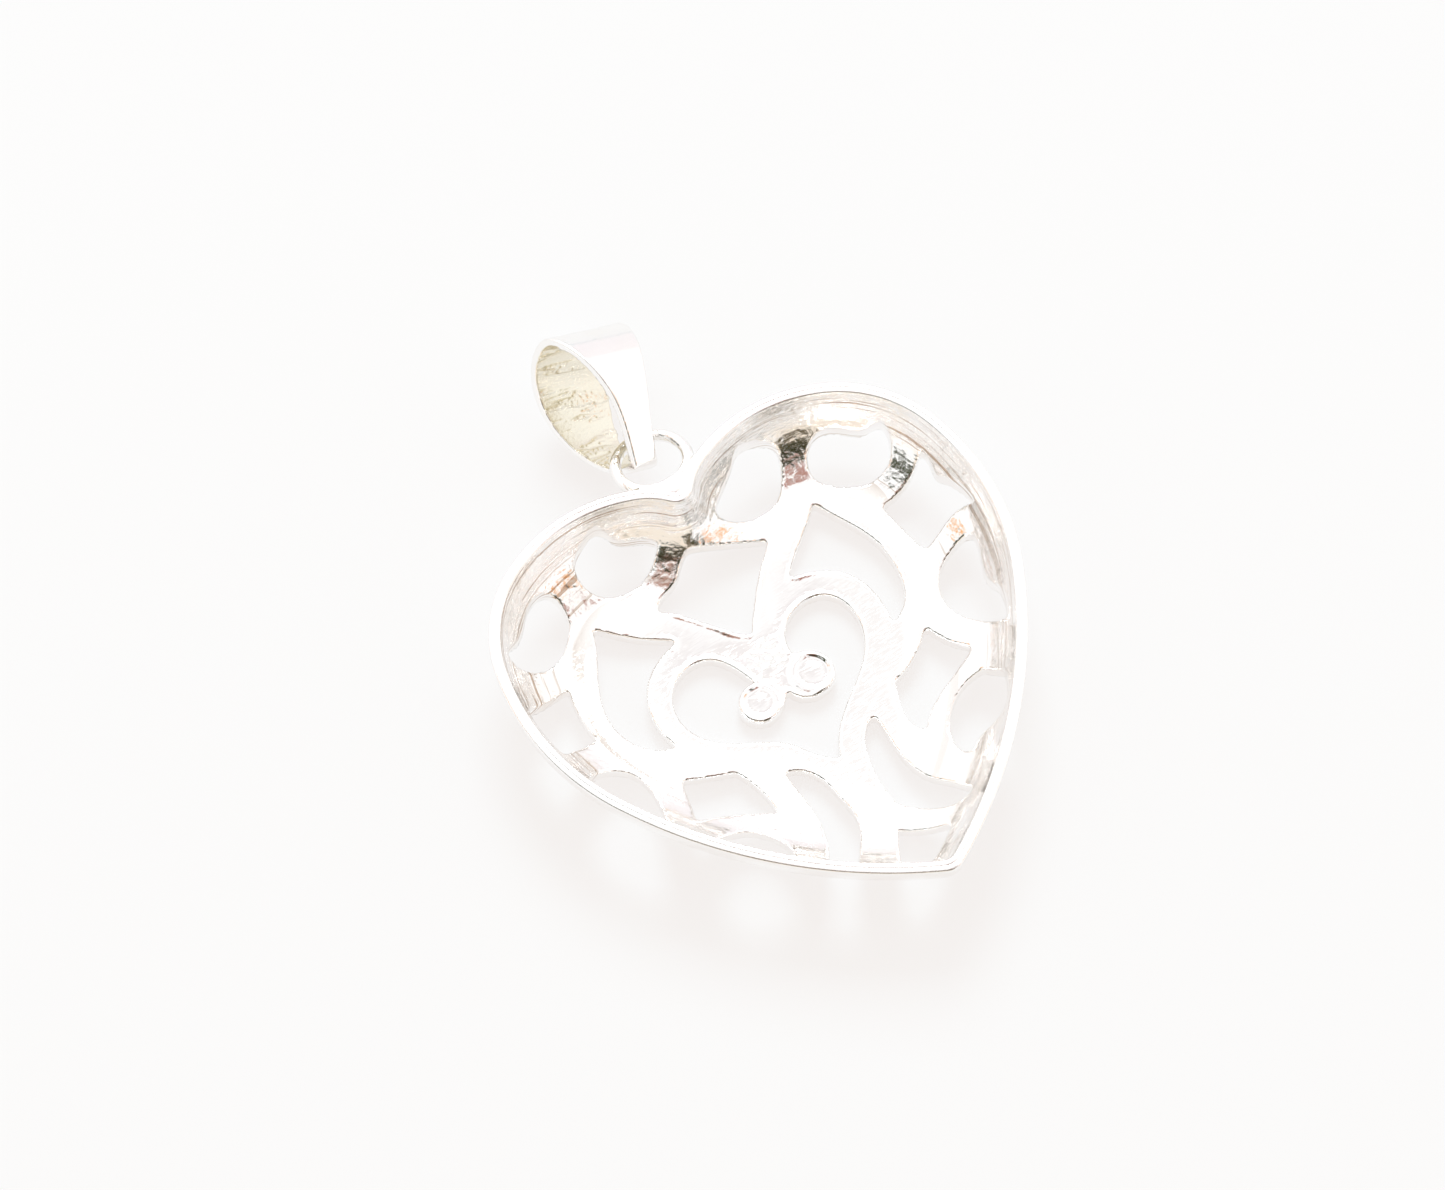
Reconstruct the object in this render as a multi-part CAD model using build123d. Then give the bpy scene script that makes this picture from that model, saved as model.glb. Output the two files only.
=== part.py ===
from build123d import *
import os
from math import atan2, cos, degrees, hypot, radians, sin, sqrt

# A hollow, pierced heart pendant lies on its domed front with its open back up.
# Sizes are millimetres. X is the heart's left and right, Y runs from the tip to
# the bail, Z is up, and the table is z = 0.

HEART_WIDTH = 32.5
DOME_HEIGHT = 5.3
WALL = 0.85
RIM_WIDTH = 0.72
RIM_EDGE = 0.12
CLEFT_RADIUS = 0.35
TIP_RADIUS = 1.1
INNER_TIP_RADIUS = 0.45

RING_WIRE = 0.78
RING_RADIUS = 2.23
RING_LEAN = 17.5
RING_SEAT = 0.77
SOLDER_WIDTH = 2.7
SOLDER_THICKNESS = 1.3
SOLDER_SPREAD = 0.6
SOLDER_SINK = 0.55

BAIL_LENGTH = 8.7
BAIL_DEPTH = 6.2
BAIL_FOOT_WIDTH = 1.7
BAIL_BACK_WIDTH = 2.5
BAIL_FRONT_WIDTH = 5.2
BAIL_TOP_WIDTH = 5.8
BAIL_WALL = 0.45
BAIL_YAW = -4.4
BAIL_ROLL = 26.4
WIRE_REACH = 0.90
WIRE_ROOM = 0.76
HANG_ANGLE = 99.0
TABLE_GAP = 0.02
STEEPEST_PITCH = 60.0

HALF = HEART_WIDTH / 2
MOUTH_HEIGHTS = (DOME_HEIGHT + WALL, DOME_HEIGHT - RIM_EDGE)

# One half of the outline is five arcs, each tangent to the next, from the cleft
# over the lobe to the tip. The first one leaves the cleft at CLEFT_HEADING.
CLEFT_HEIGHT = 0.656
CLEFT_HEADING = 54.1
HALF_ARCS = [
    # radius as a share of HALF, sweep in degrees
    (0.328, 30.5),
    (0.660, 50.1),
    (0.524, 47.8),
    (0.968, 43.1),
    (2.013, 36.1),
]

# The dome's outer face, from the rim at the top to the crown on the table.
DOME_ROWS = [
    # inset as a share of HALF, scale about the middle, height as a share of DOME_HEIGHT
    (0.000, 1.00, 0.970),
    (0.006, 1.00, 0.800),
    (0.036, 1.00, 0.580),
    (0.090, 1.00, 0.380),
    (0.165, 1.00, 0.230),
    (0.265, 1.00, 0.115),
    (0.265, 0.72, 0.040),
    (0.265, 0.40, 0.000),
]
CROWN_ROWS = 2
CROWN_MIDDLE = -0.08
CROWN_LEAN = 0.2

# Each opening is a closed line round the dome, as shares of HALF. It bends
# smoothly from point to point and turns sharply at the points marked SHARP.
SMOOTH, SHARP = False, True
OPENINGS = {
    # x share, y share, how the line turns there
    "beside_cleft_right": [
        (0.288, 0.729, SMOOTH), (0.209, 0.670, SMOOTH), (0.119, 0.582, SMOOTH), (0.228, 0.518, SMOOTH),
        (0.344, 0.531, SMOOTH), (0.421, 0.613, SMOOTH), (0.445, 0.696, SMOOTH), (0.367, 0.740, SMOOTH),
    ],
    "lobe_right": [
        (0.598, 0.650, SMOOTH), (0.546, 0.619, SMOOTH), (0.521, 0.534, SMOOTH), (0.574, 0.459, SMOOTH),
        (0.680, 0.404, SMOOTH), (0.778, 0.424, SMOOTH), (0.817, 0.476, SMOOTH), (0.817, 0.544, SMOOTH),
        (0.769, 0.560, SMOOTH), (0.721, 0.590, SMOOTH), (0.658, 0.640, SMOOTH),
    ],
    "shoulder_right": [
        (0.892, 0.378, SHARP), (0.887, 0.316, SMOOTH), (0.878, 0.256, SHARP), (0.920, 0.156, SMOOTH),
        (0.922, 0.049, SHARP), (0.877, 0.102, SMOOTH), (0.802, 0.095, SMOOTH), (0.697, 0.064, SHARP),
        (0.679, 0.190, SMOOTH), (0.667, 0.298, SHARP), (0.761, 0.305, SMOOTH), (0.847, 0.341, SMOOTH),
    ],
    "side_right": [
        (0.854, -0.010, SMOOTH), (0.767, -0.009, SMOOTH), (0.686, -0.056, SMOOTH), (0.637, -0.161, SMOOTH),
        (0.651, -0.244, SMOOTH), (0.705, -0.331, SMOOTH), (0.746, -0.394, SHARP), (0.792, -0.315, SMOOTH),
        (0.807, -0.256, SHARP), (0.805, -0.165, SMOOTH), (0.835, -0.095, SMOOTH),
    ],
    "flank_right": [
        (0.586, -0.486, SHARP), (0.498, -0.487, SMOOTH), (0.400, -0.546, SMOOTH), (0.344, -0.634, SMOOTH),
        (0.336, -0.689, SMOOTH), (0.371, -0.733, SHARP), (0.435, -0.702, SMOOTH), (0.516, -0.695, SMOOTH),
        (0.560, -0.662, SMOOTH), (0.625, -0.557, SHARP),
    ],
    "fin_right": [
        (0.518, -0.199, SHARP), (0.548, -0.285, SMOOTH), (0.604, -0.377, SHARP), (0.469, -0.432, SMOOTH),
        (0.367, -0.478, SMOOTH), (0.289, -0.546, SHARP), (0.262, -0.495, SMOOTH), (0.278, -0.394, SMOOTH),
        (0.310, -0.316, SHARP), (0.443, -0.264, SMOOTH),
    ],
    "crescent_low_right": [
        (0.159, -0.393, SMOOTH), (0.094, -0.437, SMOOTH), (0.058, -0.510, SMOOTH), (0.032, -0.633, SMOOTH),
        (0.035, -0.738, SHARP), (0.100, -0.809, SMOOTH), (0.166, -0.859, SMOOTH), (0.270, -0.877, SHARP),
        (0.224, -0.776, SMOOTH), (0.171, -0.688, SMOOTH), (0.154, -0.557, SMOOTH), (0.162, -0.455, SMOOTH),
    ],
    "above_tip": [
        (-0.031, -0.828, SHARP), (0.060, -0.899, SMOOTH), (0.137, -0.940, SHARP), (0.060, -0.985, SMOOTH),
        (-0.030, -1.025, SMOOTH), (-0.120, -0.985, SHARP),
    ],
    "sickle_low": [
        (-0.240, -0.402, SHARP), (-0.189, -0.424, SMOOTH), (-0.144, -0.489, SMOOTH), (-0.128, -0.596, SMOOTH),
        (-0.127, -0.704, SMOOTH), (-0.181, -0.802, SMOOTH), (-0.275, -0.915, SHARP), (-0.365, -0.860, SHARP),
        (-0.280, -0.746, SMOOTH), (-0.245, -0.639, SMOOTH), (-0.235, -0.526, SMOOTH),
    ],
    "leaf_low_left": [
        (-0.575, -0.227, SHARP), (-0.487, -0.266, SMOOTH), (-0.392, -0.300, SHARP), (-0.358, -0.402, SMOOTH),
        (-0.355, -0.527, SHARP), (-0.458, -0.466, SMOOTH), (-0.628, -0.407, SHARP), (-0.603, -0.329, SMOOTH),
    ],
    "slot_low_left": [
        (-0.636, -0.543, SHARP), (-0.526, -0.535, SMOOTH), (-0.451, -0.587, SMOOTH), (-0.427, -0.756, SHARP),
        (-0.531, -0.716, SMOOTH), (-0.608, -0.637, SMOOTH),
    ],
    "flank_left": [
        (-0.898, -0.094, SHARP), (-0.801, -0.061, SMOOTH), (-0.728, -0.102, SMOOTH), (-0.699, -0.191, SMOOTH),
        (-0.770, -0.396, SHARP), (-0.842, -0.304, SMOOTH), (-0.884, -0.201, SMOOTH),
    ],
    "side_left": [
        (-0.724, 0.307, SHARP), (-0.750, 0.206, SMOOTH), (-0.749, 0.079, SHARP), (-0.906, 0.062, SHARP),
        (-0.925, 0.158, SMOOTH), (-0.920, 0.270, SHARP), (-0.812, 0.291, SMOOTH),
    ],
    "lobe_left": [
        (-0.597, 0.655, SMOOTH), (-0.675, 0.642, SMOOTH), (-0.735, 0.589, SMOOTH), (-0.836, 0.531, SHARP),
        (-0.857, 0.466, SMOOTH), (-0.805, 0.423, SMOOTH), (-0.708, 0.419, SMOOTH), (-0.623, 0.477, SMOOTH),
        (-0.571, 0.556, SMOOTH),
    ],
    "beside_cleft_left": [
        (-0.298, 0.740, SMOOTH), (-0.272, 0.700, SMOOTH), (-0.209, 0.662, SMOOTH), (-0.136, 0.606, SHARP),
        (-0.210, 0.548, SMOOTH), (-0.302, 0.522, SMOOTH), (-0.393, 0.546, SMOOTH), (-0.446, 0.612, SMOOTH),
        (-0.444, 0.694, SMOOTH), (-0.392, 0.732, SMOOTH),
    ],
    "below_cleft": [
        (-0.051, 0.526, SHARP), (0.098, 0.469, SMOOTH), (0.233, 0.418, SHARP), (0.106, 0.302, SMOOTH),
        (-0.028, 0.140, SHARP), (-0.105, 0.217, SMOOTH), (-0.179, 0.320, SMOOTH), (-0.264, 0.399, SHARP),
        (-0.222, 0.436, SMOOTH), (-0.151, 0.455, SMOOTH), (-0.102, 0.496, SMOOTH),
    ],
    "crescent_top": [
        (0.457, 0.451, SHARP), (0.506, 0.345, SMOOTH), (0.561, 0.213, SMOOTH), (0.569, 0.073, SMOOTH),
        (0.539, -0.031, SMOOTH), (0.434, -0.113, SHARP), (0.453, 0.013, SMOOTH), (0.415, 0.143, SMOOTH),
        (0.314, 0.224, SMOOTH), (0.219, 0.249, SHARP), (0.302, 0.327, SMOOTH), (0.400, 0.399, SMOOTH),
    ],
    "crescent_left": [
        (-0.511, 0.467, SHARP), (-0.427, 0.380, SMOOTH), (-0.266, 0.262, SHARP), (-0.392, 0.231, SMOOTH),
        (-0.483, 0.154, SMOOTH), (-0.525, 0.043, SMOOTH), (-0.513, -0.094, SHARP), (-0.613, -0.038, SMOOTH),
        (-0.661, 0.089, SMOOTH), (-0.636, 0.220, SMOOTH), (-0.562, 0.354, SMOOTH),
    ],
    "inner_field": [
        (-0.128, -0.043, SHARP), (-0.157, 0.052, SMOOTH), (-0.220, 0.137, SMOOTH), (-0.326, 0.144, SMOOTH),
        (-0.406, 0.090, SMOOTH), (-0.438, -0.032, SMOOTH), (-0.388, -0.142, SMOOTH), (-0.276, -0.225, SMOOTH),
        (-0.153, -0.306, SMOOTH), (-0.093, -0.400, SMOOTH), (-0.032, -0.459, SHARP), (0.077, -0.312, SMOOTH),
        (0.228, -0.199, SMOOTH), (0.309, -0.106, SMOOTH), (0.337, 0.014, SMOOTH), (0.288, 0.120, SMOOTH),
        (0.173, 0.135, SMOOTH), (0.076, 0.063, SMOOTH), (0.057, -0.011, SHARP), (0.124, -0.044, SMOOTH),
        (0.157, -0.120, SMOOTH), (0.133, -0.183, SMOOTH), (0.046, -0.207, SMOOTH), (-0.045, -0.117, SHARP),
        (-0.097, -0.176, SMOOTH), (-0.187, -0.191, SMOOTH), (-0.241, -0.121, SMOOTH), (-0.215, -0.054, SMOOTH),
    ],
}

# The bail's loop seen along its bore: how far up its length, how far through its depth.
BAIL_LOOP = [
    # share of BAIL_LENGTH, share of BAIL_DEPTH
    (0.00, 0.02), (0.22, 0.00), (0.50, 0.00), (0.74, 0.10), (0.94, 0.33), (1.00, 0.56),
    (0.93, 0.80), (0.76, 0.96), (0.55, 1.00), (0.34, 0.94), (0.14, 0.77), (0.00, 0.52), (-0.05, 0.23),
]
LOOP_MIDDLE = (0.47, 0.50)
BAND_ENDS = (-0.15, 0.50, 1.05)
SETTLE_STEPS = 12


def arc_centres():
    """The five arcs of the right half: centre x, centre y, radius and the heading at its start."""
    x, y, heading = 0.0, CLEFT_HEIGHT * HALF, CLEFT_HEADING
    arcs = []
    for radius_share, sweep in HALF_ARCS:
        radius = radius_share * HALF
        centre_x = x + radius * sin(radians(heading))
        centre_y = y - radius * cos(radians(heading))
        arcs.append((centre_x, centre_y, radius, heading))
        heading -= sweep
        x = centre_x - radius * sin(radians(heading))
        y = centre_y + radius * cos(radians(heading))
    return arcs


def on_arc(arc, inset, heading):
    """The point of an arc, moved in by inset, where the outline runs at this heading."""
    centre_x, centre_y, radius, _ = arc
    reach = radius - inset
    return (centre_x - reach * sin(radians(heading)), centre_y + reach * cos(radians(heading)))


def half_outline(inset, tip_radius):
    """Start, middle and end of each arc of the right half, from the cleft to the tip."""
    arcs = arc_centres()
    first_x, first_y, first_radius, _ = arcs[0]
    cleft_y = first_y + sqrt((first_radius + CLEFT_RADIUS) ** 2 - first_x ** 2)
    start = degrees(atan2(first_x, cleft_y - first_y))
    last_x, last_y, last_radius, _ = arcs[-1]
    tip_y = last_y - sqrt((last_radius - inset - tip_radius) ** 2 - last_x ** 2)
    finish = degrees(atan2(last_x, tip_y - last_y))
    headings = [start] + [arc[3] for arc in arcs[1:]] + [finish]
    pieces = []
    for arc, begin, end in zip(arcs, headings, headings[1:]):
        pieces.append([on_arc(arc, inset, h) for h in (begin, (begin + end) / 2, end)])
    bottom = (0.0, cleft_y - CLEFT_RADIUS - inset)
    tip = (0.0, tip_y - tip_radius)
    return bottom, pieces, tip


def outline_face(inset, scale, height, tip_radius=TIP_RADIUS):
    """The heart's outline moved in by inset, then scaled about the crown's middle, as a face."""
    middle_y = CROWN_MIDDLE * HALF
    bottom, pieces, tip = half_outline(inset, tip_radius)

    def place(point, side=1):
        return (side * point[0] * scale, middle_y + (point[1] - middle_y) * scale, height)

    edges = [ThreePointArc(place(pieces[0][0], -1), place(bottom), place(pieces[0][0]))]
    edges += [ThreePointArc(*(place(point) for point in piece)) for piece in pieces]
    edges.append(ThreePointArc(place(pieces[-1][2]), place(tip), place(pieces[-1][2], -1)))
    edges += [ThreePointArc(*(place(point, -1) for point in reversed(piece))) for piece in reversed(pieces)]
    return make_face(Curve() + edges)


def inner_rows():
    """The dome's inner face: each outer row moved square to the wall by WALL."""
    places = [(inset + 1 - scale, height * DOME_HEIGHT / HALF) for inset, scale, height in DOME_ROWS]
    rows = []
    for index in range(2, len(DOME_ROWS)):
        before, after = places[index - 1], places[min(index + 1, len(places) - 1)]
        run, fall = after[0] - before[0], before[1] - after[1]
        length = hypot(run, fall)
        inset, scale, height = DOME_ROWS[index]
        lean = fall / length if scale == 1 else CROWN_LEAN
        rows.append((inset * HALF + WALL * lean, scale, height * DOME_HEIGHT + WALL * run / length))
    return rows


def stacked(sections, crown):
    """A solid through sections from the rim down: smooth as far as the crown, which is two flat cones."""
    return loft(sections[:-crown], ruled=False) + loft(sections[-crown - 1:], ruled=True)


def dome_shell():
    """The hollow dome with its flat rim, still unpierced."""
    outer = [outline_face(inset * HALF, scale, height * DOME_HEIGHT) for inset, scale, height in DOME_ROWS]
    rim_edge = loft([outline_face(RIM_EDGE, 1, DOME_HEIGHT), outer[0]], ruled=True)
    mouth = [outline_face(RIM_WIDTH, 1, height, INNER_TIP_RADIUS) for height in MOUTH_HEIGHTS]
    inner = [outline_face(inset, scale, height, INNER_TIP_RADIUS) for inset, scale, height in inner_rows()]
    hollow = loft(mouth, ruled=True) + stacked(mouth[1:] + inner, CROWN_ROWS)
    return rim_edge + stacked(outer, CROWN_ROWS) - hollow


def opening_cut(rows):
    """An upright prism with an opening's outline, taller than the dome."""
    points = [(across * HALF, along * HALF) for across, along, _ in rows]
    sharp = [index for index, (_, _, turn) in enumerate(rows) if turn is SHARP]
    if not sharp:
        face = make_face(Spline(*points, periodic=True))
    else:
        edges = []
        for begin, end in zip(sharp, sharp[1:] + [sharp[0] + len(rows)]):
            run = [points[index % len(points)] for index in range(begin, end + 1)]
            edges.append(Line(*run) if len(run) == 2 else Spline(*run))
        face = make_face(Curve() + edges)
    return Pos(0, 0, -WALL) * extrude(face, DOME_HEIGHT + 2 * WALL, dir=(0, 0, 1))


def ring_place():
    """The soldered ring's middle and lean: it meets the rim in the cleft and its far side hangs low."""
    cleft = half_outline(0, TIP_RADIUS)[0][1]
    reach = RING_RADIUS * cos(radians(RING_LEAN))
    drop = RING_RADIUS * sin(radians(RING_LEAN))
    middle = (0, cleft + reach + RING_SEAT, DOME_HEIGHT - RING_WIRE / 2 - drop)
    return Pos(*middle) * Rot(-RING_LEAN, 0, 0)


def soldered_ring():
    """The jump ring, and the solder that joins its near side to both lobes in the cleft."""
    ring = ring_place() * Torus(RING_RADIUS, RING_WIRE / 2)
    cleft = half_outline(0, TIP_RADIUS)[0][1]
    semi_axes = (SOLDER_WIDTH / 2, (RING_SEAT + RING_WIRE) * SOLDER_SPREAD, SOLDER_THICKNESS / 2)
    solder = scale(Sphere(1), by=semi_axes)
    return ring + Pos(0, cleft + RING_SEAT * SOLDER_SPREAD, DOME_HEIGHT - SOLDER_THICKNESS * SOLDER_SINK) * solder


def heart():
    """Dome, rim and ring, soldered into one piece and pierced."""
    body = dome_shell()
    for rows in OPENINGS.values():
        body -= opening_cut(rows)
    return body + soldered_ring()


def bail_loop(shrink):
    """The bail's loop as a closed face, moved in by shrink. X is along it, Y through its depth."""
    middle_along, middle_through = LOOP_MIDDLE
    points = []
    for along, through in BAIL_LOOP:
        points.append((
            middle_along * BAIL_LENGTH + (along - middle_along) * (BAIL_LENGTH - 2 * shrink),
            middle_through * BAIL_DEPTH + (through - middle_through) * (BAIL_DEPTH - 2 * shrink),
        ))
    return make_face(Spline(*points, periodic=True))


def band_outline(middle_width, level):
    """The band's flare seen through its depth: foot, middle and top widths, as a face at level."""
    bottom, middle, top = (share * BAIL_LENGTH for share in BAND_ENDS)
    widths = ((BAIL_FOOT_WIDTH, bottom), (middle_width, middle), (BAIL_TOP_WIDTH, top))
    right = ThreePointArc(*((width / 2, along, level) for width, along in widths))
    left = ThreePointArc(*((-width / 2, along, level) for width, along in widths))
    return make_face(Curve() + [right, left, Line(right @ 1, left @ 1), Line(left @ 0, right @ 0)])


def bail():
    """A flared band bent into a loop, broader in front. Its foot is at the origin, its depth runs down."""
    band = bail_loop(0) - bail_loop(BAIL_WALL)
    loop = extrude(Plane((0, 0, 0), x_dir=(0, 1, 0), z_dir=(-1, 0, 0)) * band, BAIL_TOP_WIDTH, both=True)
    back = band_outline(BAIL_BACK_WIDTH, BAIL_WALL)
    front = band_outline(BAIL_FRONT_WIDTH, -BAIL_DEPTH - BAIL_WALL)
    return loop & loft([back, front], ruled=True)


def hung(piece, pitch):
    """The bail with its foot round the ring's wire, turned by its yaw, roll and pitch."""
    angle = radians(HANG_ANGLE)
    wire = ring_place() * Pos(RING_RADIUS * cos(angle), RING_RADIUS * sin(angle), 0)
    turn = Rot(0, 0, BAIL_YAW) * Rot(0, BAIL_ROLL, 0) * Rot(pitch, 0, 0)
    reach = WIRE_REACH + RING_WIRE / 2
    room = BAIL_WALL + WIRE_ROOM + RING_WIRE / 2
    return Pos(*wire.position) * turn * Pos(0, -reach, room) * piece


def settled(piece):
    """The bail let down about the wire until the low edge of its loop is on the table."""
    low, high = 0.0, STEEPEST_PITCH
    for _ in range(SETTLE_STEPS):
        pitch = (low + high) / 2
        if hung(piece, pitch).bounding_box().min.Z > TABLE_GAP:
            high = pitch
        else:
            low = pitch
    return hung(piece, high)


pieces = {"heart": heart(), "bail": settled(bail())}
ends = Compound(children=[Compound(piece.solids()) for piece in pieces.values()]).bounding_box()
centred = Pos(0, -(ends.min.Y + ends.max.Y) / 2, 0)
os.makedirs("parts", exist_ok=True)
for name, piece in pieces.items():
    part = centred * piece
    part.label = name
    export_step(part, f"parts/{name}.step")
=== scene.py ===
"""A pierced silver heart pendant that lies on its domed front, with its open back up."""

import logging
import math
from dataclasses import dataclass, field
from enum import Enum

import bmesh
import bpy
from mathutils import Matrix, Vector


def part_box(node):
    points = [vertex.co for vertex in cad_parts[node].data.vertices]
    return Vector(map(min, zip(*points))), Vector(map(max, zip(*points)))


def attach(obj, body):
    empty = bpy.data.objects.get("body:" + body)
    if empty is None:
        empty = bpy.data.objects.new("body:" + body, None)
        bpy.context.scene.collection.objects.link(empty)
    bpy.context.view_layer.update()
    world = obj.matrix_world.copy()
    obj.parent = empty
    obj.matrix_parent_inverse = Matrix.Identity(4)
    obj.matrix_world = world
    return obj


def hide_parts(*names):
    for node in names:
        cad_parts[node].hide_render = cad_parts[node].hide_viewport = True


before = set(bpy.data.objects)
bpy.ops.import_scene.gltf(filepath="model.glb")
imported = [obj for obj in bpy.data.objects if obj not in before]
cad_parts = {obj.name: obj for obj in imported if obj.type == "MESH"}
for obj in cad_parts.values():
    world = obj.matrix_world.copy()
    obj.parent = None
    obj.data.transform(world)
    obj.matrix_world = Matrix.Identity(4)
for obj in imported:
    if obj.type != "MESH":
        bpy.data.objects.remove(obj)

LOG = logging.getLogger("pendant")
MM = 0.001


class Slot(Enum):
    """The record's material slots."""

    HEART = "heart_silver"
    BAIL = "bail_silver"


class TreeBench:
    """Adds nodes to one node tree and links them."""

    SEED_STEP = (17.3, 9.1, 5.7)

    def __init__(self, tree: bpy.types.NodeTree) -> None:
        """Keep the tree.

        Args:
            tree: the shader, world or geometry tree that is filled.
        """
        self.tree = tree

    def add(self, kind: str, values: dict | None = None, **settings: object) -> bpy.types.Node:
        """Add a node.

        Args:
            kind: Blender's name for the node's type.
            values: input name or number to a plain value, or to the output that feeds it.
            settings: the node's own properties.

        Returns:
            The node.
        """
        node = self.tree.nodes.new(kind)
        for name, value in settings.items():
            setattr(node, name, value)
        for key, value in (values or {}).items():
            self.feed(node.inputs[key], value)
        return node

    def feed(self, socket: bpy.types.NodeSocket, value: object) -> None:
        """Link an output to a socket, or set the socket's own value.

        Args:
            socket: the input that is fed.
            value: an output, or a plain value.
        """
        if isinstance(value, bpy.types.NodeSocket):
            self.tree.links.new(value, socket)
        else:
            socket.default_value = value

    def maths(self, operation: str, *values: object, clamp: bool = False) -> bpy.types.NodeSocket:
        """Add a Math node.

        Args:
            operation: Blender's name for the operation.
            values: its inputs in order.
            clamp: keep the result between 0 and 1.

        Returns:
            The result's socket.
        """
        node = self.add("ShaderNodeMath", dict(enumerate(values)), operation=operation, use_clamp=clamp)
        return node.outputs[0]

    def vectors(self, operation: str, *values: object) -> bpy.types.Node:
        """Add a Vector Math node and return it."""
        return self.add("ShaderNodeVectorMath", dict(enumerate(values)), operation=operation)

    def ramp(self, value: object, low: object, high: object) -> bpy.types.NodeSocket:
        """A smooth step.

        Args:
            value: what is tested.
            low: where the step starts from 0.
            high: where it reaches 1.

        Returns:
            The step's socket.
        """
        node = self.add(
            "ShaderNodeMapRange",
            {"Value": value, "From Min": low, "From Max": high},
            interpolation_type="SMOOTHSTEP",
        )
        return node.outputs["Result"]

    def noise(self, vector: object, scale: object, detail: float, seed: float = 0.0) -> bpy.types.NodeSocket:
        """A noise texture.

        Args:
            vector: where it is read.
            scale: how many waves a unit holds.
            detail: its finer layers.
            seed: a fixed number that moves it elsewhere.

        Returns:
            The factor's socket.
        """
        if seed:
            shift = tuple(seed * step for step in self.SEED_STEP)
            vector = self.vectors("ADD", vector, shift).outputs[0]
        return self.add("ShaderNodeTexNoise", {"Vector": vector, "Scale": scale, "Detail": detail}).outputs[0]

    def at_least(self, low: float, share: object) -> bpy.types.NodeSocket:
        """A share between 0 and 1, squeezed into the span from a low value to 1."""
        return self.maths("ADD", self.maths("MULTIPLY", share, 1.0 - low), low)

    def mixed(self, factor: object, first: object, second: object) -> bpy.types.NodeSocket:
        """A colour between two colours."""
        node = self.add("ShaderNodeMix", {0: factor, 6: first, 7: second}, data_type="RGBA")
        return node.outputs[2]


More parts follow.
